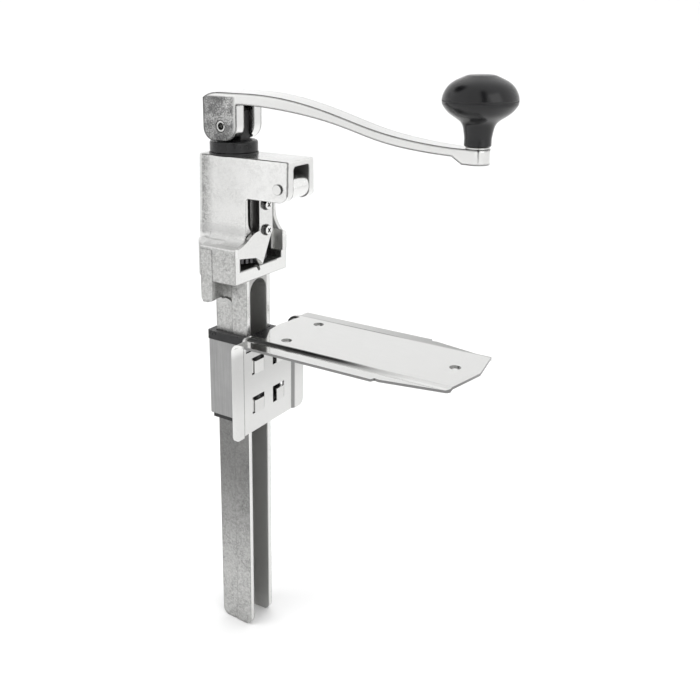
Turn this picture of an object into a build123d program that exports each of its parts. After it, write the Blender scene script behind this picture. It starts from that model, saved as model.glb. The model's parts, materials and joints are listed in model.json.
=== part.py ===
from build123d import *
import math
import os

os.makedirs("parts", exist_ok=True)

# Millimetres, +Z up. Origin: midway between the two screw holes next to the bar, on the underside of
# the tray's raised centre. +X runs out along the tray, over the table.

# --- driving dimensions ------------------------------------------------------------------------------
ARBOR_X = -64.0         # crank axis, seen from the origin
HEAD_TOP = 134.0        # top face of the head above the origin
FRAME_LENGTH = 406.0    # whole casting, head top to bar end (16 in)

# head: heights below are measured down from the head's top face, lengths from the crank axis
HEAD_BACK, ARM_END = -23.0, 62.0
HEAD_HALF, HEAD_HALF_LOW = 17.2, 19.6     # the casting's draft widens it downwards
HEAD_ROOF = 4.0
ARM_DEPTH = 30.0
ARM_SLOT_HALF = 10.25
REAR_R, NOSE_R = 6.0, 2.5
FRONT_X = 25.0                            # front of the cheeks and of the gear housing
CHEEK = 3.4
CAVITY_BACK, CAVITY_FLOOR, CAVITY_R = 15.5, 60.0, 13.0
# the cheeks flare out to the housing on an arc, tight on the -Y side and wide on the +Y side
TIGHT_FLARE, WIDE_FLARE = (53.6, 13.0, 88, 66.6), (40.0, 29.0, 57, 64.5)    # top, radius, turn, foot
SHOULDER_HALF, SHOULDER_LOW, MOUTH_HALF, MOUTH_LOW = 33.6, 79.0, 28.5, 78.5    # +Y side of the housing
PAD_HALF, PAD_STEP_X, PAD_BOTTOM = 6.5, 20.5, 60.5
HOUSING_TOP, HOUSING_BOTTOM = 67.3, 94.0
HOUSING_HALF, HOUSING_REAR_R, WING_BACK = 32.6, 29.0, -8.5
HOUSING_REAR_TOP, REAR_CHAMFER = 67.0, 4.0
POCKET_TOP, POCKET_FLOOR, POCKET_HALF, POCKET_R = 67.0, 84.0, 26.5, 25.6
LUG_BOTTOM, LUG_T, LUG_FRONT, LUG_PROUD = 110.5, 4.0, 2.6, 0.3
SKIRT_FRONT, SKIRT_BOTTOM = -3.6, 112.0   # wall between the lugs, behind the bar

# bar: a channel, open to +X
BAR_BACK, BAR_FRONT, BAR_HALF = -9.2, 21.6, 15.0
WEB, CHANNEL_HALF, CHANNEL_TOP = 5.2, 10.6, 96.0
RIB_X, RIB_STEP = 6.8, 0.6                # rear ribs stand in a little from the front ones
NECK_HALF, NECK_BOTTOM = 12.6, 113.0      # slimmer between the housing and the rear ribs' tops

# crank
SHAFT_R, TONGUE_HALF, TONGUE_R, TONGUE_X = 9.5, 5.6, 15.5, 11.0
PIVOT_Z, PIN_R, PIN_BORE = 21.3, 4.0, 2.7
SLEEVE_R, COLLAR_R, COLLAR_TOP, WASHER_T = 13.0, 18.4, 9.9, 1.4
LIFT = 6.0                                # the clevis ears cam the arbor up by this much
FIT = 0.05                                # radial running clearance
GEAR_R, GEAR_TEETH, GEAR_TOP, GEAR_BOTTOM, GEAR_HUB_R = 24.4, 40, 74.0, 81.4, 7.0
HANDLE_R = 196.4                          # crank axis to knob axis
EAR_HALF, EAR_GAP = 15.9, 5.9
BOSS_R, BOSS_BOTTOM, BOSS_TOP = 8.2, 8.6, 18.6
KNOB_BASE, KNOB_EQUATOR, KNOB_TOP, KNOB_R, NECK_R = 20.0, 48.6, 64.5, 23.8, 8.6

# knife and roller
KNIFE_X, KNIFE_T, KNIFE_Y = 25.8, 3.0, 1.3
KNIFE_SCREW_Z, SCREW_R, SCREW_HEAD_R = (-36.8, -56.5), 2.5, 4.0
ROLLER_X, ROLLER_Z, ROLLER_R, ROLLER_HALF, ROLLER_PIN_R = 53.5, -20.3, 9.0, 9.6, 3.0

# base, straight in the object's own frame
SHEET = 2.0
TRAY_END, TRAY_BACK, PLATEAU_HALF, WING_HALF = 144.5, -26.0, 32.0, 47.0
TIP_X, TIP_Y, NOTCH_X = 138.5, 35.0, 86.0
APRON_X, APRON_BOTTOM, APRON_TOP = -33.0, -82.0, -14.0
BEND_R = 7.0
JOGGLE = 2.0                              # the side wings stand off towards the table by this much
HOLE_X, HOLE_Y, HOLE_R, SINK_R, END_HOLE_X = 0.0, 22.0, 2.6, 3.8, 126.0
WINDOW_Y, WINDOW_W, WINDOW_H, WINDOW_Z = 13.7, 15.6, 14.0, (-27.0, -60.0)
TAB_INNER, TAB_TOP_GAP, TAB_LOW_GAP = 8.7, 2.7, 0.8
SLEEVE_TOP, SLEEVE_BOTTOM = -13.2, -77.3
BAR_PLAY = 0.4

# working planes on the crank axis, at the head's top face
TOP = Plane(origin=(ARBOR_X, 0, HEAD_TOP))
SIDE = Plane(origin=(ARBOR_X, 0, HEAD_TOP), x_dir=(1, 0, 0), z_dir=(0, -1, 0))    # local (x, z)
FRONT = Plane(origin=(ARBOR_X, 0, HEAD_TOP), x_dir=(0, 1, 0), z_dir=(1, 0, 0))    # local (y, z)


def span(x0, x1, y0, y1, mode=Mode.ADD):
    """Rectangle between two corners of the current sketch."""
    with Locations(((x0 + x1) / 2, (y0 + y1) / 2)):
        Rectangle(x1 - x0, y1 - y0, mode=mode)


def head_half(depth):
    """Half width of the drafted head at a depth below its top face."""
    return HEAD_HALF + (HEAD_HALF_LOW - HEAD_HALF) * depth / HOUSING_TOP


def flare_arc(start, top, radius, turns):
    """Points of the arc on which a wall at half width start turns outwards below a depth, by angle."""
    return [(start + radius * (1 - math.cos(turn)), -top - radius * math.sin(turn))
            for turn in map(math.radians, turns)]


# --- frame casting ------------------------------------------------------------------------------------
with BuildPart() as frame_casting:
    # head and arm, drafted
    for depth, half in ((0, HEAD_HALF), (HOUSING_TOP, HEAD_HALF_LOW)):
        with BuildSketch(TOP.offset(-depth)):
            span(HEAD_BACK, ARM_END, -half, half)
            fillet(vertices().group_by(Axis.X)[0], REAR_R)
            fillet(vertices().group_by(Axis.X)[-1], NOSE_R)
    loft()
    fillet(frame_casting.faces().sort_by(Axis.Z)[-1].edges(), 1.4)
    with BuildSketch(SIDE):
        span(FRONT_X, ARM_END + 8, -HOUSING_TOP - 5, -ARM_DEPTH)
        fillet(vertices().sort_by_distance((FRONT_X, -ARM_DEPTH))[0], 2)
    extrude(amount=30, both=True, mode=Mode.SUBTRACT)
    with BuildSketch(SIDE):                       # rounded lower corner of the arm's nose
        span(ARM_END - 8, ARM_END + 5, -ARM_DEPTH - 5, -ARM_DEPTH + 8)
        with Locations((ARM_END - 8, -ARM_DEPTH + 8)):
            Circle(8, mode=Mode.SUBTRACT)
    extrude(amount=30, both=True, mode=Mode.SUBTRACT)

    # gear housing: square wings in front, round behind, flared up into the cheeks
    with BuildSketch(TOP.offset(-HOUSING_TOP)):
        span(WING_BACK, FRONT_X, -HOUSING_HALF, HOUSING_HALF)
    extrude(amount=-(HOUSING_BOTTOM - HOUSING_TOP))
    for taper, amount in ((0, -(HOUSING_BOTTOM - HOUSING_REAR_TOP)), (45, REAR_CHAMFER)):
        with BuildSketch(TOP.offset(-HOUSING_REAR_TOP)):
            Circle(HOUSING_REAR_R)
            span(12, 40, -50, 50, mode=Mode.SUBTRACT)
        extrude(amount=amount, taper=taper)
    # the cheeks flare out to the housing
    for side, (top, radius, turn, foot) in ((-1, TIGHT_FLARE), (1, WIDE_FLARE)):
        wall = flare_arc(head_half(top) - 0.2, top, radius, (0, turn / 2, turn))
        arc = [(side * y, z) for y, z in wall]
        with BuildSketch(FRONT.offset(WING_BACK)):
            with BuildLine():
                ThreePointArc(*arc)
                Polyline(arc[-1], (side * HOUSING_HALF, -foot), (side * HOUSING_HALF, -HOUSING_TOP - 1),
                         (0, -HOUSING_TOP - 1), (0, -top), arc[0])
            make_face()
        extrude(amount=FRONT_X - WING_BACK)
    with BuildSketch(FRONT.offset(FRONT_X - 14)):
        span(MOUTH_HALF - 1, SHOULDER_HALF, -SHOULDER_LOW, -WIDE_FLARE[3] + 1)
        fillet(vertices().group_by(Axis.X)[-1], 2.4)
    extrude(amount=14)

    # hanging lugs at the wings' rear ends, a little proud of them, and the skirt wall between the lugs
    for side in (-1, 1):
        with BuildSketch(SIDE.offset(side * (HOUSING_HALF + LUG_PROUD))):
            span(WING_BACK, LUG_FRONT, -LUG_BOTTOM, -HOUSING_TOP - 2)
            fillet(vertices().group_by(Axis.Y)[0], 2.4)
        extrude(amount=-side * LUG_T)
    with BuildSketch(TOP.offset(-HOUSING_BOTTOM + 3)):
        span(WING_BACK, SKIRT_FRONT, -HOUSING_HALF + 1, HOUSING_HALF - 1)
    extrude(amount=-(SKIRT_BOTTOM - HOUSING_BOTTOM + 3))

    # bar
    with BuildSketch(SIDE):
        span(BAR_BACK, BAR_FRONT, -FRAME_LENGTH, -HOUSING_BOTTOM + 4)
        fillet(vertices().group_by(Axis.Y)[0], 6)
    extrude(amount=BAR_HALF, both=True)

    # hollows: slot of the arm, cavity between the cheeks, gear pocket, channel of the bar
    with BuildSketch(FRONT.offset(FRONT_X)):
        span(-ARM_SLOT_HALF, ARM_SLOT_HALF, -ARM_DEPTH - 2, -HEAD_ROOF)
        fillet(vertices().group_by(Axis.Y)[-1], 3)
    extrude(amount=ARM_END, mode=Mode.SUBTRACT)
    with BuildSketch(FRONT.offset(CAVITY_BACK)):
        cavity_half = HEAD_HALF_LOW - CHEEK
        span(-cavity_half, cavity_half, -CAVITY_FLOOR, -ARM_DEPTH + 1)
        fillet(vertices().group_by(Axis.Y)[0], CAVITY_R)
        span(-ARM_SLOT_HALF, ARM_SLOT_HALF, -ARM_DEPTH, -HEAD_ROOF)
    extrude(amount=FRONT_X - CAVITY_BACK + 1, mode=Mode.SUBTRACT)
    with BuildSketch(TOP.offset(-POCKET_TOP)):
        Circle(POCKET_R)
        span(0, FRONT_X + 1, -POCKET_HALF, POCKET_HALF)
    extrude(amount=-(POCKET_FLOOR - POCKET_TOP), mode=Mode.SUBTRACT)
    # the cavity runs down into the gear pocket on the +Y side, widening under the flare
    with BuildSketch(FRONT.offset(CAVITY_BACK)):
        top, radius, _, foot = WIDE_FLARE
        arc = flare_arc(head_half(top) - 0.2 - CHEEK, top, radius, (4, 26, 46))
        with BuildLine():
            ThreePointArc(*arc)
            Polyline(arc[-1], (MOUTH_HALF, -foot + 3), (MOUTH_HALF, -MOUTH_LOW),
                     (KNIFE_Y, -MOUTH_LOW), (KNIFE_Y, arc[0][1]), arc[0])
        make_face()
    extrude(amount=FRONT_X - CAVITY_BACK + 1, mode=Mode.SUBTRACT)
    with BuildSketch(FRONT.offset(BAR_BACK + WEB)):
        span(-CHANNEL_HALF, CHANNEL_HALF, -FRAME_LENGTH - 1, -CHANNEL_TOP - CHANNEL_HALF)
        with Locations((0, -CHANNEL_TOP - CHANNEL_HALF)):
            Circle(CHANNEL_HALF)
    extrude(amount=40, mode=Mode.SUBTRACT)

    # rear ribs of the bar stand in a little; their tops are arched where the slimmer neck starts
    for side in (-1, 1):
        with BuildSketch(SIDE.offset(side * (BAR_HALF - RIB_STEP))):
            span(BAR_BACK - 1, RIB_X, -FRAME_LENGTH - 1, -SKIRT_BOTTOM)
        extrude(amount=side * 5, mode=Mode.SUBTRACT)
        with BuildSketch(SIDE.offset(side * NECK_HALF)):
            with BuildLine():
                Polyline((RIB_X, -NECK_BOTTOM - 2), (RIB_X, -HOUSING_BOTTOM),
                         (SKIRT_FRONT, -HOUSING_BOTTOM), (SKIRT_FRONT, -NECK_BOTTOM))
                Spline((SKIRT_FRONT, -NECK_BOTTOM), (RIB_X - 5, -NECK_BOTTOM + 1),
                       (RIB_X, -NECK_BOTTOM - 2))
            make_face()
        extrude(amount=side * 5, mode=Mode.SUBTRACT)

    # stepped pad the knife is screwed to, slanting slot for the knife's tooth in the platform's edge
    for half, front in ((PAD_HALF + 1.8, PAD_STEP_X), (PAD_HALF, KNIFE_X - 0.1)):
        with BuildSketch(FRONT.offset(CAVITY_BACK - 1)):
            span(KNIFE_Y - half, KNIFE_Y + half, -PAD_BOTTOM, -HEAD_ROOF + 1)
        extrude(amount=front - CAVITY_BACK + 1)
    with BuildSketch(FRONT.offset(FRONT_X - 3)):
        with BuildLine():
            Polyline((-7.6, -POCKET_FLOOR + 1), (-3.8, -POCKET_FLOOR - 4), (-1.6, -POCKET_FLOOR - 4),
                     (-3.6, -POCKET_FLOOR + 1), close=True)
        make_face()
    extrude(amount=5, mode=Mode.SUBTRACT)

    # bores: collar sleeve, arbor clearance, lower bushing, room for the gear screw's head
    for radius, top, bottom in ((SLEEVE_R + FIT, 0, 24.5), (SHAFT_R + 1.5, 24, 40),
                                (SLEEVE_R, 40, POCKET_TOP), (9, POCKET_FLOOR, POCKET_FLOOR + 7)):
        with BuildSketch(TOP.offset(-bottom - 0.1)):
            Circle(radius)
        extrude(amount=bottom - top + 0.2, mode=Mode.SUBTRACT)
    with BuildSketch(SIDE.offset(-30)):
        with Locations((ROLLER_X, ROLLER_Z)):
            Circle(ROLLER_PIN_R + 0.02)
    extrude(amount=60, mode=Mode.SUBTRACT)
    with BuildSketch(FRONT.offset(KNIFE_X)):
        with Locations(*[(KNIFE_Y, z) for z in KNIFE_SCREW_Z]):
            Circle(SCREW_R + 0.02)
    extrude(amount=-9, mode=Mode.SUBTRACT)

# --- knife, its screws and washers --------------------------------------------------------------------
with BuildPart() as knife:
    with BuildSketch(FRONT.offset(KNIFE_X)):
        with BuildLine():
            left, right = KNIFE_Y - 8.4, KNIFE_Y + 8.4
            Polyline((left, -56), (left, -ARM_DEPTH + 3), (right, -ARM_DEPTH + 3), (right, -58.5),
                     (6.2, -63.9), (-3.4, -82.3), (-4.9, -83.2), (-9.8, -77.2), (-12, -76),
                     (-33.5, -72.5), (-33.5, -65.4))
            Spline((-33.5, -65.4), (-27.4, -63.7), (-22, -61.4), (-17.5, -58.6), (-12.5, -56.6),
                   (left, -56))
        make_face()
    extrude(amount=KNIFE_T)
    with BuildSketch(FRONT.offset(KNIFE_X)):
        with Locations(*[(KNIFE_Y, z) for z in KNIFE_SCREW_Z]):
            Circle(SCREW_R + 0.3)
    extrude(amount=KNIFE_T, mode=Mode.SUBTRACT)
    tip = knife.edges().filter_by(GeomType.LINE).group_by(Axis.X)[-1]
    chamfer(tip.sort_by_distance((ARBOR_X + KNIFE_X + KNIFE_T, -7.3, HEAD_TOP - 80.2))[0], 1.6)

with BuildPart() as knife_washers:
    with BuildSketch(FRONT.offset(KNIFE_X + KNIFE_T)):
        with Locations(*[(KNIFE_Y, z) for z in KNIFE_SCREW_Z]):
            Circle(SCREW_HEAD_R + 0.4)
            Circle(SCREW_R + 0.2, mode=Mode.SUBTRACT)
        with Locations(*[(KNIFE_Y + 4, z + 2.2) for z in KNIFE_SCREW_Z]):
            Rectangle(4, 0.7, rotation=40, mode=Mode.SUBTRACT)
    extrude(amount=0.8)

with BuildPart() as knife_screws:
    head_x = KNIFE_X + KNIFE_T + 0.8
    spots = [(KNIFE_Y, z) for z in KNIFE_SCREW_Z]
    with BuildSketch(FRONT.offset(head_x)):
        with Locations(*spots):
            Circle(SCREW_R)
    extrude(amount=-12)
    with BuildSketch(FRONT.offset(head_x)):
        with Locations(*spots):
            Circle(SCREW_HEAD_R)
    extrude(amount=2.2)
    fillet(knife_screws.edges().filter_by(GeomType.CIRCLE).group_by(Axis.X)[-1], 1.2)
    with BuildSketch(FRONT.offset(head_x + 0.7)):
        with Locations(*spots):
            Rectangle(4.6, 1.1, rotation=38)
            Rectangle(1.1, 4.6, rotation=38)
    extrude(amount=2, mode=Mode.SUBTRACT)

# --- guide roller in the arm's fork -------------------------------------------------------------------
with BuildPart() as roller_pin:
    cheek_face = head_half(4 - ROLLER_Z)
    with BuildSketch(SIDE.offset(-cheek_face)):
        with Locations((ROLLER_X, ROLLER_Z)):
            Circle(ROLLER_PIN_R)
    extrude(amount=2 * cheek_face)
    with BuildSketch(SIDE.offset(cheek_face)):
        with Locations((ROLLER_X, ROLLER_Z)):
            Circle(3.9)
    extrude(amount=1.4)
    fillet(roller_pin.edges().group_by(Axis.Y)[0], 0.5)
    chamfer(roller_pin.edges().group_by(Axis.Y)[-1], 0.6)

with BuildPart() as guide_roller:
    with BuildSketch(SIDE.offset(-ROLLER_HALF)):
        with Locations((ROLLER_X, ROLLER_Z)):
            Circle(ROLLER_R)
            Circle(ROLLER_PIN_R + FIT, mode=Mode.SUBTRACT)
    extrude(amount=2 * ROLLER_HALF)
    chamfer(guide_roller.edges().filter_by(lambda e: abs(e.radius - ROLLER_R) < 0.1
                                           if e.geom_type == GeomType.CIRCLE else False), 0.8)

# --- bushings, collar, arbor, gear --------------------------------------------------------------------
with BuildPart() as thrust_washer:
    with BuildSketch(TOP):
        Circle(COLLAR_R + 0.5)
        Circle(SLEEVE_R + 0.2, mode=Mode.SUBTRACT)
    extrude(amount=WASHER_T)
    chamfer(thrust_washer.edges().group_by(Axis.Z)[-1].sort_by(SortBy.LENGTH)[-1], 0.3)

with BuildPart() as collar:
    with BuildSketch(TOP.offset(WASHER_T + 0.3)):
        Circle(COLLAR_R)
    extrude(amount=COLLAR_TOP - WASHER_T - 0.3)
    fillet(collar.edges().group_by(Axis.Z)[-1], 1.8)
    fillet(collar.edges().group_by(Axis.Z)[0], 0.5)
    with BuildSketch(TOP.offset(-24)):
        Circle(SLEEVE_R)
    extrude(amount=27)
    with BuildSketch(TOP.offset(-24)):
        Circle(SHAFT_R + FIT)
    extrude(amount=24 + COLLAR_TOP, mode=Mode.SUBTRACT)

with BuildPart() as lower_bushing:
    with BuildSketch(TOP.offset(-POCKET_TOP)):
        Circle(SLEEVE_R - 0.02)
        Circle(SHAFT_R + FIT, mode=Mode.SUBTRACT)
    extrude(amount=POCKET_TOP - 40.2)

with BuildPart() as arbor:
    with BuildSketch(SIDE):
        with Locations((0, PIVOT_Z)):
            Circle(TONGUE_R)
        span(-TONGUE_X, TONGUE_X, 2, PIVOT_Z)
        span(-20, 20, -20, 2, mode=Mode.SUBTRACT)
        span(-30, -TONGUE_X, -20, 60, mode=Mode.SUBTRACT)
        span(TONGUE_X, 30, -20, 60, mode=Mode.SUBTRACT)
    extrude(amount=TONGUE_HALF, both=True)
    # the tongue's foot is turned down to the shaft, and its flats run on into the collar, so that the
    # ears can pass down beside it while it lifts
    with BuildSketch(TOP.offset(2)):
        Circle(60)
        Circle(SHAFT_R, mode=Mode.SUBTRACT)
    extrude(amount=COLLAR_TOP + 0.4 - 2, mode=Mode.SUBTRACT)
    with BuildSketch(TOP.offset(COLLAR_TOP - LIFT - 0.7)):
        Circle(SHAFT_R)
    extrude(amount=-(GEAR_TOP + COLLAR_TOP - LIFT - 0.7))
    with BuildSketch(TOP.offset(-GEAR_TOP)):
        Circle(GEAR_HUB_R)
    extrude(amount=-(GEAR_BOTTOM - GEAR_TOP))
    with BuildSketch(TOP.offset(-GEAR_BOTTOM)):
        Circle(2.52)
    extrude(amount=14, mode=Mode.SUBTRACT)
    with BuildSketch(SIDE.offset(-20)):
        with Locations((0, PIVOT_Z)):
            Circle(PIN_R + 0.02)
    extrude(amount=40, mode=Mode.SUBTRACT)

with BuildPart() as drive_gear:
    with BuildSketch(TOP.offset(-GEAR_BOTTOM)):
        Circle(GEAR_R)
        with PolarLocations(GEAR_R + 0.4, GEAR_TEETH):
            RegularPolygon(2.1, 3, rotation=180, mode=Mode.SUBTRACT)
        Circle(GEAR_HUB_R + 0.02, mode=Mode.SUBTRACT)
    extrude(amount=GEAR_BOTTOM - GEAR_TOP - 0.1)

with BuildPart() as gear_washer:
    with BuildSketch(TOP.offset(-GEAR_BOTTOM - 1.1)):
        Circle(8.2)
        Circle(2.7, mode=Mode.SUBTRACT)
    extrude(amount=1.0)

with BuildPart() as gear_screw:
    with BuildSketch(TOP.offset(-GEAR_BOTTOM - 1.2)):
        RegularPolygon(4.6, 6)
    extrude(amount=-3.4)
    with BuildSketch(TOP.offset(-GEAR_BOTTOM - 1.3)):
        Circle(2.5)
    extrude(amount=13)

# --- handle -------------------------------------------------------------------------------------------
with BuildPart() as handle_arm:
    with BuildSketch(SIDE):
        with BuildLine():
            Spline((-16.2, 41.8), (-10, 45.0), (4, 46.2), (32, 45.7), (69, 40.8), (93, 35.0), (126, 26.0),
                   (160, 20.4), (HANDLE_R - 14, BOSS_TOP))
            Polyline((HANDLE_R - 14, BOSS_TOP), (HANDLE_R, BOSS_TOP), (HANDLE_R, BOSS_BOTTOM),
                     (HANDLE_R - BOSS_R + 1, BOSS_BOTTOM), (HANDLE_R - 14.5, BOSS_TOP - 5.5))
            Spline((HANDLE_R - 14.5, BOSS_TOP - 5.5), (161, 14.4), (129, 19.0), (101, 26.4), (79, 31.2),
                   (52, 35.2), (22, 37.6), (8, 37.6))
            Polyline((8, 37.6), (-16.2, 37.6), (-16.2, 41.8))
        make_face()
    extrude(amount=EAR_HALF, both=True)
    # clevis ears, rounder in front than behind
    with BuildSketch(SIDE):
        span(-16.2, 14.7, 10.3, 42)
        fillet(vertices().sort_by_distance((-16.2, 10.3))[0], 10)
        fillet(vertices().sort_by_distance((14.7, 10.3))[0], 12)
    extrude(amount=EAR_HALF, both=True)
    with BuildSketch(SIDE):
        span(-20, 18, 0, 37.6)
    extrude(amount=EAR_GAP, both=True, mode=Mode.SUBTRACT)
    # outline from above, narrowing to the boss
    with BuildSketch(TOP):
        with BuildLine():
            Polyline((12, EAR_HALF), (-16.2, EAR_HALF), (-16.2, -EAR_HALF), (12, -EAR_HALF))
            Spline((12, -EAR_HALF), (30, -13.6), (60, -10.4), (110, -8.2), (HANDLE_R - 14, -6.8))
            Polyline((HANDLE_R - 14, -6.8), (HANDLE_R - 3, -BOSS_R + 0.6), (HANDLE_R, -BOSS_R + 0.6),
                     (HANDLE_R, BOSS_R - 0.6), (HANDLE_R - 3, BOSS_R - 0.6), (HANDLE_R - 14, 6.8))
            Spline((HANDLE_R - 14, 6.8), (110, 8.2), (60, 10.4), (30, 13.6), (12, EAR_HALF))
        make_face()
    extrude(amount=60, mode=Mode.INTERSECT)
    with BuildSketch(TOP.offset(BOSS_BOTTOM)):
        with Locations((HANDLE_R, 0)):
            Circle(BOSS_R)
    extrude(amount=BOSS_TOP - BOSS_BOTTOM)
    with BuildSketch(TOP.offset(BOSS_BOTTOM)):
        with Locations((HANDLE_R, 0)):
            Circle(3.52)
    extrude(amount=20, mode=Mode.SUBTRACT)
    with BuildSketch(SIDE.offset(-20)):
        with Locations((0, PIVOT_Z)):
            Circle(PIN_R + FIT)
    extrude(amount=40, mode=Mode.SUBTRACT)

with BuildPart() as pivot_pin:
    with BuildSketch(SIDE.offset(-EAR_HALF + 0.5)):
        with Locations((0, PIVOT_Z)):
            Circle(PIN_R)
            Circle(PIN_BORE, mode=Mode.SUBTRACT)
        with Locations((3, PIVOT_Z + 1.5)):
            Rectangle(3.5, 0.8, rotation=26, mode=Mode.SUBTRACT)
    extrude(amount=2 * EAR_HALF - 1)

# --- knob ---------------------------------------------------------------------------------------------
with BuildPart() as knob:
    with BuildSketch(SIDE):
        with BuildLine():
            x = HANDLE_R
            Polyline((x, KNOB_BASE), (x + NECK_R - 0.6, KNOB_BASE), (x + NECK_R, KNOB_BASE + 0.6),
                     (x + NECK_R, 24))
            Spline((x + NECK_R, 24), (x + 9.2, 29), (x + 10.7, 34), (x + 15.6, 38.2), (x + 20.4, 41.9),
                   (x + 23.1, 45.4), (x + KNOB_R, KNOB_EQUATOR), tangents=[(0, 1), (0, 1)])
            Spline((x + KNOB_R, KNOB_EQUATOR), (x + 22.7, 53.4), (x + 18.5, 59.0), (x + 11, 63.0),
                   (x, KNOB_TOP), tangents=[(0, 1), (-1, 0)])
            Line((x, KNOB_TOP), (x, KNOB_BASE))
        make_face()
        span(x, x + 6.22, KNOB_BASE - 1, 44, mode=Mode.SUBTRACT)
    revolve(axis=Axis((ARBOR_X + HANDLE_R, 0, 0), (0, 0, 1)))

with BuildPart() as knob_insert:
    with BuildSketch(TOP.offset(KNOB_BASE + 0.3)):
        with Locations((HANDLE_R, 0)):
            Circle(6.2)
            Circle(3.5 + FIT, mode=Mode.SUBTRACT)
    extrude(amount=39.4 - KNOB_BASE)

with BuildPart() as knob_spindle:
    for radius, low, high in ((3.5, BOSS_BOTTOM + 0.3, 41), (5.2, 40, 42.6)):
        with BuildSketch(TOP.offset(low)):
            with Locations((HANDLE_R, 0)):
                Circle(radius)
        extrude(amount=high - low)

with BuildPart() as knob_washer:
    with BuildSketch(TOP.offset(BOSS_TOP + 0.1)):
        with Locations((HANDLE_R, 0)):
            Circle(7.6)
            Circle(3.7, mode=Mode.SUBTRACT)
    extrude(amount=0.9)

# --- base: one bent sheet, the strap sleeve and the liner ------------------------------------------------
with BuildPart() as base_plate:
    # one section, a raised centre with a joggled-down wing each side, swept along the tray and down
    with BuildLine():
        FilletPolyline((TRAY_END, 0, 0), (APRON_X, 0, 0), (APRON_X, 0, APRON_BOTTOM), radius=BEND_R)
    with BuildSketch(Plane(origin=(TRAY_END, 0, 0), x_dir=(0, 1, 0), z_dir=(1, 0, 0))):
        a, b, c = PLATEAU_HALF, PLATEAU_HALF + 3, WING_HALF
        underside = [(c, -JOGGLE), (b, -JOGGLE), (a, 0)]
        top = [(a + 0.8, SHEET), (b + 0.8, SHEET - JOGGLE), (c, SHEET - JOGGLE)]
        with BuildLine():
            Polyline(*underside, *[(-y, z) for y, z in reversed(underside)],
                     *[(-y, z) for y, z in reversed(top)], *top, close=True)
        make_face()
    sweep()
    # plan: straight wings to a notch, then tapering to a shallow pointed end
    with BuildSketch(Plane.XY.offset(APRON_BOTTOM - 1)):
        with BuildLine():
            edge = [(APRON_X - 5, WING_HALF), (NOTCH_X, WING_HALF), (NOTCH_X + 1.5, 44),
                    (NOTCH_X + 5, 44.6), (TIP_X - 3, TIP_Y + 0.8), (TIP_X, TIP_Y - 0.8)]
            Polyline(*edge, (TRAY_END, 0), *[(x, -y) for x, y in reversed(edge)], close=True)
        make_face()
    extrude(amount=10 - APRON_BOTTOM, mode=Mode.INTERSECT)
    # apron's lower corners
    with BuildSketch(Plane.YZ.offset(APRON_X - 5)):
        span(-WING_HALF, WING_HALF, APRON_BOTTOM, 10)
        fillet(vertices().group_by(Axis.Y)[0], 6)
    extrude(amount=TRAY_END - APRON_X + 10, mode=Mode.INTERSECT)
    # window at the bend for the bar and the liner's flange; windows for the sleeve's tabs
    with BuildSketch(Plane.XY.offset(APRON_TOP)):
        with BuildLine():
            Polyline((APRON_X - 4, -29), (-15.5, -29), (-15.5, -26), (-24, -10.5), (TRAY_BACK, 4),
                     (-23.5, 20), (-22.5, 29), (APRON_X - 4, 29), close=True)
        make_face()
    extrude(amount=6 - APRON_TOP, mode=Mode.SUBTRACT)
    with BuildSketch(Plane.YZ.offset(APRON_X - 4)):
        with Locations(*[(side * WINDOW_Y, z) for side in (-1, 1) for z in WINDOW_Z]):
            Rectangle(WINDOW_W, WINDOW_H)
    extrude(amount=6, mode=Mode.SUBTRACT)
    # countersunk screw holes
    with BuildSketch(Plane.XY.offset(-1)):
        with Locations((HOLE_X, -HOLE_Y), (HOLE_X, HOLE_Y), (END_HOLE_X, 0)):
            Circle(HOLE_R)
    extrude(amount=5, mode=Mode.SUBTRACT)
    sink = base_plate.edges().filter_by(GeomType.CIRCLE).filter_by(
        lambda e: abs(e.radius - HOLE_R) < 0.01 and abs(e.center().Z - SHEET) < 0.01)
    chamfer(sink, SINK_R - HOLE_R)

with BuildPart() as sleeve:
    back, half = -79.2, 19.5
    with BuildSketch(Plane.XY.offset(SLEEVE_BOTTOM)):
        span(back, APRON_X - SHEET - 0.05, -half, half)
        fillet(vertices().group_by(Axis.X)[0], 3.5)
        span(back + SHEET, APRON_X, -half + SHEET, half - SHEET, mode=Mode.SUBTRACT)
    extrude(amount=SLEEVE_TOP - SLEEVE_BOTTOM)
    # tabs: the side walls run out through the apron's windows and fold inwards in front of it
    for side in (-1, 1):
        for z in WINDOW_Z:
            with BuildSketch(Plane.XY.offset(z - WINDOW_H / 2 + TAB_LOW_GAP)):
                y0, y1 = sorted((side * (half - SHEET), side * half))
                span(APRON_X - SHEET - 3, APRON_X + SHEET, y0, y1)
                y0, y1 = sorted((side * TAB_INNER, side * half))
                span(APRON_X + 0.05, APRON_X + SHEET, y0, y1)
                fillet(vertices().sort_by_distance((APRON_X + SHEET, side * half))[0], 1.6)
            extrude(amount=WINDOW_H - TAB_LOW_GAP - TAB_TOP_GAP)

with BuildPart() as liner:
    inner = (ARBOR_X + BAR_BACK - BAR_PLAY, ARBOR_X + BAR_FRONT + BAR_PLAY)
    with BuildSketch(Plane.XY.offset(-81.5)):
        span(-77.1, APRON_X - SHEET - 0.1, -17.4, 17.4)
        fillet(vertices().group_by(Axis.X)[0], 1.6)
    extrude(amount=81.5 - 12)
    with BuildSketch(Plane.XY.offset(SLEEVE_TOP + 0.1)):
        span(-79.2, TRAY_BACK - 3, -19.5, 19.5)
        fillet(vertices().group_by(Axis.X)[0], 2)
    extrude(amount=7)
    with BuildSketch(Plane.XY.offset(-82)):
        span(inner[0], inner[1], -BAR_HALF - BAR_PLAY, BAR_HALF + BAR_PLAY)
    extrude(amount=90, mode=Mode.SUBTRACT)

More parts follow.
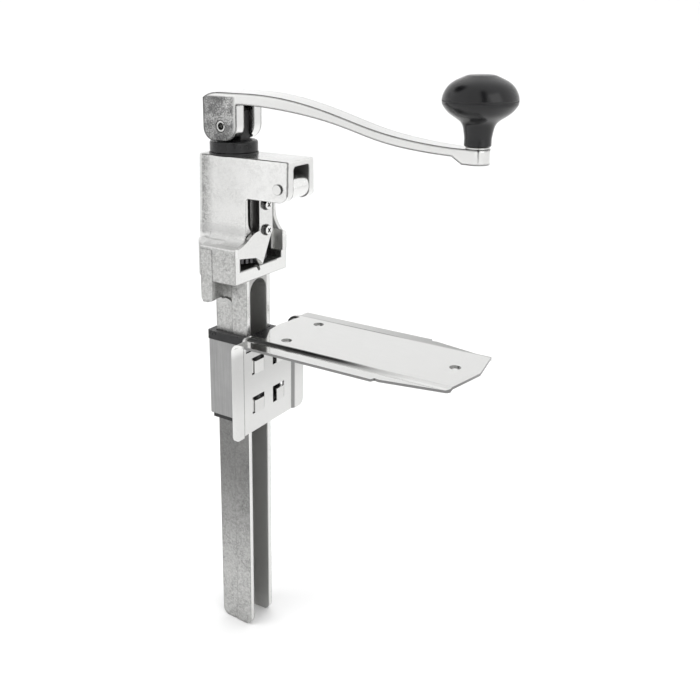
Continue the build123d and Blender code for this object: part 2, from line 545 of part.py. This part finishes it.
pieces = {
    "frame_casting": frame_casting, "knife": knife, "knife_washers": knife_washers,
    "knife_screws": knife_screws, "roller_pin": roller_pin, "guide_roller": guide_roller,
    "thrust_washer": thrust_washer, "collar": collar, "lower_bushing": lower_bushing, "arbor": arbor,
    "drive_gear": drive_gear, "gear_washer": gear_washer, "gear_screw": gear_screw,
    "handle_arm": handle_arm, "pivot_pin": pivot_pin, "knob": knob, "knob_insert": knob_insert,
    "knob_spindle": knob_spindle, "knob_washer": knob_washer, "base_plate": base_plate,
    "sleeve": sleeve, "liner": liner,
}
for name, piece in pieces.items():
    piece.part.label = name
    export_step(piece.part, f"parts/{name}.step")
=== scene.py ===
import json
import math

import bpy
from mathutils import Matrix, Vector

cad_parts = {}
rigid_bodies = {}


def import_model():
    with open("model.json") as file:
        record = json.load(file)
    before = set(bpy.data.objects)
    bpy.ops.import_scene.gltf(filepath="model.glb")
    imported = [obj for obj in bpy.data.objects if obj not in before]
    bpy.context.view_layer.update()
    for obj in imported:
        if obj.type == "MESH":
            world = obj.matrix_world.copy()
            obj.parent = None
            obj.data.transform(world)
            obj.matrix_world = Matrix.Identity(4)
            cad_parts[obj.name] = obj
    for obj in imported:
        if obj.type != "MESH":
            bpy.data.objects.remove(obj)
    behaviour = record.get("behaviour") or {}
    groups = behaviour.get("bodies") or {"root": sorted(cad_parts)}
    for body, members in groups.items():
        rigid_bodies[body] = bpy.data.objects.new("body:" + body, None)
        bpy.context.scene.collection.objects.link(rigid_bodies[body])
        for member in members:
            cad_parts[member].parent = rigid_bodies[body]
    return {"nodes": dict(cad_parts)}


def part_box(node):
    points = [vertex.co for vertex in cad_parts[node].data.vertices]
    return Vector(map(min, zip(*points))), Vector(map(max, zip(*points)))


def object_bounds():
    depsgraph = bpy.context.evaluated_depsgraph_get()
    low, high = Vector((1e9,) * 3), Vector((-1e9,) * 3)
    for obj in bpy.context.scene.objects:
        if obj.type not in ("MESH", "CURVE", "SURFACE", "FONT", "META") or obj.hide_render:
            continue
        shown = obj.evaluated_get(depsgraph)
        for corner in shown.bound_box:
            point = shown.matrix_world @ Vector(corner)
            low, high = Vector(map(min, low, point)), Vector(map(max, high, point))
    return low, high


# A manual can opener: a plated cast bar with its cutting head, cranked by an S-shaped lever, sliding
# in a sleeve on a bent stainless plate. Metres, in the CAD frame: +X out over the table, +Z up.

for leftover in list(bpy.data.objects):
    bpy.data.objects.remove(leftover)
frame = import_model()
cad_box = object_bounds()
nodes = frame["nodes"]


# --- shader vocabulary -------------------------------------------------------------------------------
def rgba(color):
    """A linked colour as it is, a plain (r, g, b) made opaque."""
    return color if hasattr(color, "is_output") else (*color, 1)


class Graph:
    """Short calls that add shader nodes to a node tree. Values are numbers or other nodes' outputs."""

    def __init__(self, tree):
        self.tree = tree

    def set(self, node, values):
        for socket, value in values.items():
            if hasattr(value, "is_output"):
                self.tree.links.new(value, node.inputs[socket])
            else:
                node.inputs[socket].default_value = value

    def add(self, kind, inputs=None, **settings):
        node = self.tree.nodes.new("ShaderNode" + kind)
        for key, value in settings.items():
            setattr(node, key, value)
        self.set(node, inputs or {})
        return node

    def ramp(self, value, low, high, to_low=0.0, to_high=1.0):
        """Smooth change from to_low to to_high as value goes from low to high."""
        return self.add("MapRange", {"Value": value, "From Min": low, "From Max": high,
                                     "To Min": to_low, "To Max": to_high},
                        interpolation_type="SMOOTHSTEP").outputs["Result"]

    def fade(self, value, low, high):
        """1 up to low, 0 from high on."""
        return self.ramp(value, low, high, 1.0, 0.0)

    def band(self, value, start, full, last, end):
        """1 from full to last, 0 below start and above end."""
        return self.product(self.ramp(value, start, full), self.fade(value, last, end))

    def math(self, operation, *values):
        return self.add("Math", dict(enumerate(values)), operation=operation).outputs[0]

    def fold(self, operation, values):
        result, *others = values
        for value in others:
            result = self.math(operation, result, value)
        return result

    def product(self, *values):
        return self.fold("MULTIPLY", values)

    def total(self, *values):
        return self.fold("ADD", values)

    def most(self, *values):
        return self.fold("MAXIMUM", values)

    def inverse(self, mask):
        return self.math("SUBTRACT", 1.0, mask)

    def cosine(self, a, b):
        """Cosine between two unit vectors."""
        return self.add("VectorMath", {0: a, 1: b}, operation="DOT_PRODUCT").outputs["Value"]


class Shader(Graph):
    """A material under construction: a Principled surface and the nodes that feed it."""

    def __init__(self, name, color, metallic, roughness, **sockets):
        self.material = bpy.data.materials.new(name)
        self.material.use_nodes = True
        super().__init__(self.material.node_tree)
        self.bsdf = self.tree.nodes["Principled BSDF"]
        self.set(self.bsdf, {"Base Color": rgba(color), "Metallic": metallic, "Roughness": roughness})
        self.set(self.bsdf, sockets)
        coordinates = self.add("TexCoord").outputs
        self.coords, self.normal = coordinates["Object"], coordinates["Normal"]
        axes = self.add("SeparateXYZ", {"Vector": self.coords}).outputs
        self.x, self.y, self.z = axes["X"], axes["Y"], axes["Z"]

    def noise(self, scale, detail=3.0, roughness=0.55, stretch=None):
        """Grey noise of so many features a metre; stretch=(x, y, z) scales the space first."""
        vector = self.coords
        if stretch:
            vector = self.add("Mapping", {"Vector": vector, "Scale": stretch}).outputs["Vector"]
        return self.add("TexNoise", {"Vector": vector, "Scale": scale, "Detail": detail,
                                     "Roughness": roughness}).outputs["Fac"]

    def facing(self, direction, low, high):
        """1 where the surface faces a direction of the object's own, 0 where it turns away."""
        return self.ramp(self.cosine(self.normal, direction), low, high)

    def sideways(self):
        """1 where the surface faces +Y or -Y, 0 where it faces square to them."""
        return self.math("ABSOLUTE", self.cosine(self.normal, (0, 1, 0)))

    def inside(self, low, high, soft=0.0012):
        """1 inside an upright box of the object's own space, 0 outside."""
        return self.product(*(self.band(value, start - soft, start, stop, stop + soft)
                              for value, start, stop in zip((self.x, self.y, self.z), low, high)))

    def within(self, center, radius, low, high, soft=0.0008):
        """1 inside an upright cylinder about (x, y), between two heights."""
        x, y = (self.math("SUBTRACT", value, middle) for value, middle in zip((self.x, self.y), center))
        reach = self.math("SQRT", self.total(self.product(x, x), self.product(y, y)))
        return self.product(self.fade(reach, radius, radius + soft),
                            self.band(self.z, low - soft, low, high, high + soft))

    def mix(self, factor, a, b):
        """Colour between a and b."""
        node = self.add("MixRGB", {"Fac": factor, "Color1": rgba(a), "Color2": rgba(b)})
        return node.outputs["Color"]

    def edges(self, radius, low=0.02, high=0.25):
        """1 on sharp edges, 0 on flat faces: how far the rounded normal leaves the real one."""
        rounded = self.add("Bevel", {"Radius": radius}, samples=6).outputs["Normal"]
        flat = self.add("NewGeometry").outputs["Normal"]
        return self.ramp(self.inverse(self.cosine(rounded, flat)), low, high)

    def bump(self, height, distance, strength=1.0, rounding=None):
        """Bumped normal; rounding is a radius by which sharp edges are shaded as if they were round."""
        node = self.add("Bump", {"Height": height, "Distance": distance, "Strength": strength})
        if rounding:
            rounded = self.add("Bevel", {"Radius": rounding}, samples=8).outputs["Normal"]
            self.set(node, {"Normal": rounded})
        return node.outputs["Normal"]

    def finish(self, color, roughness, normal):
        self.set(self.bsdf, {"Base Color": color, "Roughness": roughness, "Normal": normal})
        return self.material


# --- materials ---------------------------------------------------------------------------------------
def cast_plate():
    """Bright plating over a sand casting: smooth on the head, grainy on the housing and the bar, ground
    bright on the faces that look out over the table, painted dark reflections in its rounded rims,
    painted shade in its hollows."""
    s = Shader("cast_plate", (0.62, 0.62, 0.61), 1.0, 0.4)
    grain, pits, blotch = s.noise(1300, 4, 0.65), s.noise(420, 3, 0.6), s.noise(60, 3, 0.55)
    speck = s.ramp(s.total(s.product(grain, 0.55), s.product(pits, 0.45)), 0.36, 0.64)
    below_head = s.fade(s.z, 0.064, 0.080)
    ground = s.product(s.facing((1, 0, 0), 0.9, 0.98), s.ramp(s.x, -0.047, -0.044))
    skin = s.product(below_head, s.inverse(ground))

    channel = s.inside((-0.0686, -0.0108, -0.30), (-0.0425, 0.0108, 0.0405))
    gear_pocket = s.most(s.within((-0.064, 0.0), 0.0262, 0.0496, 0.0674),
                         s.inside((-0.0640, -0.0268, 0.0496), (-0.0394, 0.0200, 0.0674)))
    flare_wall = s.inside((-0.0490, 0.0150, 0.0560), (-0.0394, 0.0290, 0.0900))
    cavity = s.inside((-0.0490, -0.0172, 0.0740), (-0.0398, -0.0076, 0.1040), 0.0004)
    pad_side = s.product(s.inside((-0.0490, -0.0080, 0.0740), (-0.0370, -0.0040, 0.1040), 0.0003),
                         s.inverse(s.facing((1, 0, 0), 0.5, 0.9)))
    arm_slot = s.inside((-0.0490, -0.0104, 0.1020), (-0.0030, 0.0104, 0.1302))
    hollows = ((flare_wall, 0.65), (arm_slot, 0.20), (cavity, 0.16), (pad_side, 0.12),
               (gear_pocket, 0.10), (channel, 0.48))    # each with the painted shade of its walls
    hollow = s.most(*(mask for mask, _ in hollows))

    # the smooth head, painted lighter towards the front, with painted shade beside its rounded rear
    # corner
    rear_corner_shade = s.band(s.x, -0.0825, -0.0808, -0.0805, -0.0690)
    head = s.mix(s.ramp(s.x, -0.060, -0.020), (0.72, 0.72, 0.71), (0.83, 0.83, 0.82))
    head = s.mix(s.product(rear_corner_shade, s.ramp(speck, 0.0, 1.0, 0.30, 0.85)), head, (0.16, 0.16, 0.157))
    head = s.mix(s.product(speck, s.ramp(blotch, 0.35, 0.70, 0.10, 0.34)), head, (0.30, 0.30, 0.295))

    # the grainy housing and bar, with painted shade on the bar's middle stretch
    plate = s.mix(s.product(speck, s.ramp(blotch, 0.35, 0.70, 0.55, 0.85)), (0.56, 0.56, 0.55),
                  (0.20, 0.20, 0.196))
    shaded = s.product(s.band(s.z, -0.250, -0.110, -0.080, -0.012), 0.7)
    plate = s.mix(shaded, plate, (0.06, 0.06, 0.058))

    color = s.mix(skin, head, plate)
    color = s.mix(s.product(ground, s.inverse(shaded)), color, (0.76, 0.76, 0.75))
    # painted dark reflections along the casting's sharp edges
    color = s.mix(s.product(s.edges(0.0011, 0.02, 0.16), 0.8), color, (0.12, 0.12, 0.118))
    # painted dark reflections in the rounded rims along the head's top and the arm's nose
    rims = s.product(s.band(s.sideways(), 0.30, 0.55, 0.75, 0.92), s.ramp(s.z, 0.100, 0.102),
                     s.ramp(s.x, -0.080, -0.078))
    color = s.mix(s.product(rims, 0.8), color, (0.08, 0.08, 0.078))

    # painted shade where the cheeks turn outwards, and a painted highlight on the flare's nearly level
    # foot on the housing
    turn = s.band(s.z, 0.0735, 0.0765, 0.0790, 0.0850)
    foot = s.band(s.z, 0.0655, 0.0675, 0.0715, 0.0745)
    color = s.mix(s.product(turn, 0.45), color, (0.42, 0.42, 0.415))
    color = s.mix(s.product(foot, 0.6), color, (0.95, 0.95, 0.94))
    # painted shade inside the hollows
    for mask, tone in hollows:
        color = s.mix(s.product(mask, 0.95), color, (tone, tone, tone * 0.98))

    rough = s.total(s.ramp(grain, 0.3, 0.7, 0.17, 0.26), s.product(skin, 0.12))
    rough = s.most(rough, s.product(hollow, 0.55), s.product(turn, 0.36), s.product(foot, 0.55))
    height = s.product(s.total(s.product(grain, 0.7), pits), s.total(skin, 0.12))
    return s.finish(color, rough, s.bump(height, 0.0004, 0.7, rounding=0.0013))


def handle_chrome():
    """Chromed lever: polished arm, cast grain left on the clevis ears' sides, painted dark reflections
    in its rims.
    """
    s = Shader("handle_chrome", (0.80, 0.80, 0.79), 1.0, 0.1)
    grain, blotch, waves, haze = s.noise(950, 4, 0.65), s.noise(110, 3), s.noise(28, 2), s.noise(240, 3)
    # painted dark reflections in the lever's rims
    rims = s.edges(0.0026, 0.008, 0.07)
    ears = s.product(s.fade(s.x, -0.0530, -0.0495), s.fade(s.z, 0.1765, 0.1780))
    cast = s.product(ears, s.ramp(s.sideways(), 0.90, 0.98), s.inverse(rims))
    speck = s.ramp(s.total(s.product(grain, 0.6), s.product(blotch, 0.4)), 0.30, 0.58)
    # painted shade on the ears' cast sides, deepening towards their bottom
    ear_bottom_shade = s.ramp(s.z, 0.146, 0.164, 0.45, 0.0)
    color = s.mix(s.product(speck, cast, 0.95), (0.78, 0.78, 0.77), (0.10, 0.10, 0.10))
    color = s.mix(s.product(ear_bottom_shade, cast), color, (0.05, 0.05, 0.05))
    color = s.mix(rims, color, (0.03, 0.03, 0.03))
    rough = s.total(s.ramp(haze, 0.3, 0.7, 0.06, 0.12), s.product(cast, 0.26))
    height = s.total(s.product(waves, 0.5), s.product(grain, cast, 0.7))
    return s.finish(color, rough, s.bump(height, 0.0004, 0.5, rounding=0.0022))


# the tray's screw holes, (x, y), and the radius of their countersinks
TRAY_HOLES, SINK_RADIUS = ((0.0, -0.022), (0.0, 0.022), (0.126, 0.0)), 0.0040


def tray_sheet():
    """Polished stainless sheet: mirror-like on the tray, hazier on the apron, with painted dark
    reflections on the far wing, upper apron and tray creases, painted shade in apron creases and screw
    holes, dark cut edges."""
    s = Shader("polished_sheet", (0.76, 0.76, 0.75), 1.0, 0.1)
    lines, haze = s.noise(1.0, 3, 0.6, stretch=(60, 500, 500)), s.noise(90, 3)
    apron = s.fade(s.z, -0.014, -0.006)
    tray = s.inverse(apron)
    crease = s.band(s.math("ABSOLUTE", s.y), 0.0312, 0.0322, 0.0340, 0.0352)
    color = s.mix(s.ramp(lines, 0.3, 0.7), (0.735, 0.735, 0.725), (0.755, 0.755, 0.745))

    # painted dark reflection on the far wing, stronger further out over the table
    far_wing = s.product(s.ramp(s.y, 0.0300, 0.0340), tray)
    color = s.mix(s.product(far_wing, s.ramp(s.x, 0.0, 0.120, 0.35, 0.85)), color, (0.30, 0.30, 0.295))
    # painted dark reflection on the apron, stronger towards its top
    upper = s.ramp(s.ramp(s.z, -0.080, -0.015), 0.0, 1.0, 0.35, 0.85)
    color = s.mix(s.product(apron, upper), color, (0.46, 0.46, 0.455))
    # painted shade in the apron's creases
    color = s.mix(s.product(crease, apron, 0.75), color, (0.10, 0.10, 0.10))
    # painted dark reflection along the tray's creases
    crease_reflection = s.product(s.ramp(s.x, -0.020, 0.030, 0.35, 0.90), s.ramp(s.x, 0.050, 0.085, 1.0, 0.15))
    color = s.mix(s.product(crease, tray, crease_reflection), color, (0.05, 0.05, 0.05))

    level = s.most(s.facing((0, 0, 1), 0.3, 0.7), s.facing((0, 0, -1), 0.3, 0.7))
    cut = s.product(s.inverse(level), s.ramp(s.x, -0.024, -0.020))
    color = s.mix(s.product(cut, 0.85), color, (0.10, 0.10, 0.10))
    # painted shade in the screw holes' countersinks
    for center in TRAY_HOLES:
        hole = s.within(center, SINK_RADIUS, -0.001, 0.0030, 0.0003)
        color = s.mix(hole, color, (0.24, 0.24, 0.235))

    rough = s.total(s.ramp(haze, 0.3, 0.7, 0.07, 0.11), s.product(apron, 0.12))
    height = s.total(s.product(lines, 0.3), s.product(haze, 0.5))
    return s.finish(color, rough, s.bump(height, 0.0001, 0.35))


def sleeve_sheet():
    """Strap brushed up and down, brighter on the tabs that come through the apron."""
    s = Shader("brushed_sheet", (0.32, 0.32, 0.32), 1.0, 0.32)
    lines, cloud = s.noise(1.0, 4, 0.75, stretch=(1300, 1300, 22)), s.noise(70, 3)
    tabs = s.ramp(s.x, -0.0352, -0.0340)
    color = s.mix(s.ramp(lines, 0.3, 0.7), (0.26, 0.26, 0.26), (0.34, 0.34, 0.338))
    color = s.mix(s.ramp(cloud, 0.35, 0.75, 0.0, 0.35), color, (0.24, 0.24, 0.24))
    color = s.mix(tabs, color, (0.60, 0.60, 0.59))
    rough = s.math("SUBTRACT", s.ramp(lines, 0.25, 0.75, 0.28, 0.40), s.product(tabs, 0.16))
    return s.finish(color, rough, s.bump(lines, 0.0002, 0.35))


def plain_steel(name, color, rough, scale=900, depth=0.0001, edge_wear_and_shade=1.25):
    """Machined or plated steel for small parts; its last argument is its edges' brightness over its
    faces': above 1 for wear, below 1 for painted shade.
    """
    s = Shader(name, color, 1.0, rough)
    grain = s.noise(scale, 3, 0.6)
    tint = s.mix(s.ramp(grain, 0.3, 0.75), color, tuple(c * 0.8 for c in color))
    tint = s.mix(s.edges(0.0004), tint, tuple(min(1, c * edge_wear_and_shade) for c in color))
    return s.finish(tint, s.ramp(grain, 0.3, 0.7, rough * 0.8, rough * 1.3), s.bump(grain, depth, 0.5))


def screw_steel():
    """Plated screw heads: bright faces, painted shade on their flanks and in their recesses."""
    s = Shader("screw_steel", (0.7, 0.7, 0.69), 1.0, 0.2)
    grain = s.noise(1200, 3)
    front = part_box("knife_screws")[1].x
    face = s.product(s.facing((1, 0, 0), 0.55, 0.9), s.ramp(s.x, front - 0.0013, front - 0.0008))
    color = s.mix(face, (0.08, 0.08, 0.08), (0.82, 0.82, 0.81))
    return s.finish(color, s.ramp(grain, 0.3, 0.7, 0.14, 0.28), s.bump(grain, 0.0001, 0.5))


def pin_steel():
    """Riveted pin: its end faces bright, painted shade on its rim and barrel."""
    s = Shader("pin_steel", (0.74, 0.74, 0.73), 1.0, 0.2)
    grain = s.noise(900, 3, 0.6)
    face = s.mix(grain, (0.66, 0.66, 0.65), (0.76, 0.76, 0.75))
    color = s.mix(s.ramp(s.sideways(), 0.80, 0.95), (0.08, 0.08, 0.08), face)
    return s.finish(color, s.ramp(grain, 0.3, 0.7, 0.18, 0.28), s.bump(grain, 0.0001, 0.5))


def nylon():
    """Moulded nylon: fine matt texture, paler on its sharp edges."""
    s = Shader("black_nylon", (0.012, 0.012, 0.0125), 0.0, 0.36, **{"Specular IOR Level": 0.3})
    grain, cloud = s.noise(1500, 4, 0.6), s.noise(80, 3)
    color = s.mix(s.ramp(cloud, 0.35, 0.7), (0.011, 0.011, 0.0115), (0.020, 0.020, 0.021))
    color = s.mix(s.product(s.edges(0.0006), 0.6), color, (0.06, 0.06, 0.062))
    return s.finish(color, s.ramp(cloud, 0.3, 0.7, 0.24, 0.36), s.bump(grain, 0.0001, 0.5))


def phenolic():
    """Moulded knob, satin gloss, with the mould's parting line round its widest ring."""
    s = Shader("knob_black", (0.010, 0.010, 0.011), 0.0, 0.24, **{"Specular IOR Level": 0.38})
    grain, cloud = s.noise(1800, 3), s.noise(60, 3)
    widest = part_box("knob")[1].z - 0.0159      # height of that ring, below the knob's top
    seam = s.fade(s.math("ABSOLUTE", s.math("SUBTRACT", s.z, widest)), 0.0002, 0.0007)
    color = s.mix(s.ramp(cloud, 0.35, 0.7), (0.004, 0.004, 0.0045), (0.008, 0.008, 0.009))
    rough = s.total(s.ramp(cloud, 0.3, 0.7, 0.16, 0.25), s.product(seam, 0.25))
    height = s.math("SUBTRACT", s.product(grain, 0.10), seam)
    return s.finish(color, rough, s.bump(height, 0.0004, 0.7))


materials = {
    "cast_plate": cast_plate(),
    "handle_chrome": handle_chrome(),
    "polished_sheet": tray_sheet(),
    "brushed_sheet": sleeve_sheet(),
    # the knife's, roller's and fasteners' edges take painted shade
    "knife_steel": plain_steel("knife_steel", (0.80, 0.80, 0.79), 0.18, 1600, 0.00006, edge_wear_and_shade=0.2),
    "gear_steel": plain_steel("gear_steel", (0.12, 0.12, 0.125), 0.38),
    "roller_steel": plain_steel("roller_steel", (0.86, 0.86, 0.85), 0.16, 1500, 0.00006, edge_wear_and_shade=0.5),
    "fastener_steel": plain_steel("fastener_steel", (0.66, 0.66, 0.65), 0.22, edge_wear_and_shade=0.3),
    "black_oxide": plain_steel("black_oxide", (0.045, 0.045, 0.045), 0.36),
    "screw_steel": screw_steel(),
    "pin_steel": pin_steel(),
    "washer_steel": plain_steel("washer_steel", (0.16, 0.16, 0.16), 0.3),
    "bronze": plain_steel("bronze", (0.50, 0.33, 0.16), 0.38),
    "black_nylon": nylon(),
    "knob_black": phenolic(),
}

# every CAD node takes its slot's material, or the one that FINISHES gives it
FINISHES = {"knife_screws": "screw_steel", "knife_washers": "washer_steel", "roller_pin": "pin_steel"}
# by how much a node's edges sharper than SHARP are bevelled, so that they catch light
BEVELS = {"frame_casting": 0.0007, "handle_arm": 0.0004, "base_plate": 0.0004, "sleeve": 0.0003,
          "liner": 0.0005, "knife": 0.0003, "arbor": 0.0004}
SHARP = math.radians(28)

for name, node in nodes.items():
    for place in node.material_slots:
        place.material = materials[FINISHES.get(name, place.material.name.split(".")[0])]
    if name in BEVELS:
        node.modifiers.new("weld", "WELD").merge_threshold = 0.00001
        bevel = node.modifiers.new("bevel", "BEVEL")
        bevel.width = BEVELS[name]
        bevel.segments = 2
        bevel.limit_method = "ANGLE"
        bevel.angle_limit = SHARP
        node.modifiers.new("normals", "WEIGHTED_NORMAL").keep_sharp = False


# --- stage -------------------------------------------------------------------------------------------
# the camera stands on the photograph's side of the object and was fitted there
CAMERA_AZIMUTH, CAMERA_ELEVATION = math.radians(34.74), math.radians(16.77)
CAMERA_PLACE = (0.3541, -0.5285, 0.2298)
CAMERA_LENS, CAMERA_SHIFT = 45.33, (0.0861, -0.09)


def stage_material():
    s = Shader("stage_white", (0.93, 0.93, 0.93), 0.0, 0.9)
    s.set(s.bsdf, {"Base Color": s.mix(s.noise(3, 2), (0.925, 0.925, 0.925), (0.94, 0.94, 0.94))})
    return s.material


def sweep(z, front, back, height, width, steps=24):
    """Floor running back into a curved wall, so that no horizon shows."""
    radius = height * 0.6
    curve = [math.pi / 2 * step / steps for step in range(steps + 1)]
    profile = [(front, z)]
    profile += [(back + radius * math.sin(a), z + radius * (1 - math.cos(a))) for a in curve]
    profile.append((back + radius, z + height))
    turn = Matrix.Rotation(CAMERA_AZIMUTH, 3, "Z")
    vertices = [turn @ Vector((x, y, h)) for y, h in profile for x in (-width, width)]
    faces = [(2 * i, 2 * i + 1, 2 * i + 3, 2 * i + 2) for i in range(len(profile) - 1)]
    mesh = bpy.data.meshes.new("sweep")
    mesh.from_pydata(vertices, [], faces)
    mesh.shade_smooth()
    mesh.materials.append(stage_material())
    floor = bpy.data.objects.new("sweep", mesh)
    bpy.context.scene.collection.objects.link(floor)


sweep(z=cad_box[0].z - 0.0005, front=-3.0, back=1.2, height=3.0, width=5.0)

# --- light -------------------------------------------------------------------------------------------
MIDDLE = Vector((0.0, 0.0, -0.05))      # the lights' aim


def area_light(name, location, size, power, mirrored=True):
    """Rectangular light; mirrored says whether reflections show it."""
    data = bpy.data.lights.new(name, "AREA")
    data.shape, data.size, data.size_y, data.energy = "RECTANGLE", size[0], size[1], power
    light = bpy.data.objects.new(name, data)
    light.location = location
    light.rotation_euler = (MIDDLE - Vector(location)).to_track_quat("-Z", "Y").to_euler()
    light.visible_glossy = mirrored
    bpy.context.scene.collection.objects.link(light)


area_light("key", (-0.9, -1.3, 1.3), (1.2, 1.2), 9, mirrored=False)
area_light("fill", (1.6, -0.5, 0.7), (1.0, 1.6), 5)
area_light("top", (0.2, 0.2, 1.7), (1.6, 1.2), 6, mirrored=False)

# the studio that the chrome mirrors is white all round but for a dark flag overhead and a narrow
# upright gap between the front panels; seen directly, all of it is white
FLAG = Vector((-0.66, -0.08, 0.745)).normalized()
FRONT, ACROSS = (0.57, -0.82, 0.0), (0.82, 0.57, 0.0)
world = bpy.data.worlds.new("studio")
world.use_nodes = True
sky = Graph(world.node_tree)
direction = sky.add("TexCoord").outputs["Generated"]
off_flag = sky.ramp(sky.cosine(direction, FLAG), 0.950, 0.985, 1.0, 0.06)
off_middle = sky.math("ABSOLUTE", sky.cosine(direction, ACROSS))
gap = sky.product(sky.ramp(off_middle, 0.08, 0.15, 0.95, 0.0),
                  sky.ramp(sky.cosine(direction, FRONT), 0.3, 0.6))
seen_directly = sky.add("LightPath").outputs["Is Camera Ray"]
white = sky.most(sky.product(sky.inverse(gap), off_flag), seen_directly)
sky.set(world.node_tree.nodes["Background"], {"Color": white, "Strength": 1.14})
scene = bpy.context.scene
scene.world = world
scene.view_settings.view_transform = "Standard"

# --- camera ------------------------------------------------------------------------------------------
back = Vector((math.sin(CAMERA_AZIMUTH) * math.cos(CAMERA_ELEVATION),
               -math.cos(CAMERA_AZIMUTH) * math.cos(CAMERA_ELEVATION), math.sin(CAMERA_ELEVATION)))
right = Vector((math.cos(CAMERA_AZIMUTH), math.sin(CAMERA_AZIMUTH), 0))
camera_data = bpy.data.cameras.new("camera")
camera_data.sensor_width, camera_data.lens = 36, CAMERA_LENS
camera_data.shift_x, camera_data.shift_y = CAMERA_SHIFT
camera_data.clip_start = 0.01
camera = bpy.data.objects.new("camera", camera_data)
turned = Matrix((right, back.cross(right), back)).transposed().to_4x4()
camera.matrix_world = Matrix.Translation(CAMERA_PLACE) @ turned
scene.collection.objects.link(camera)
scene.camera = camera

bpy.context.view_layer.update()
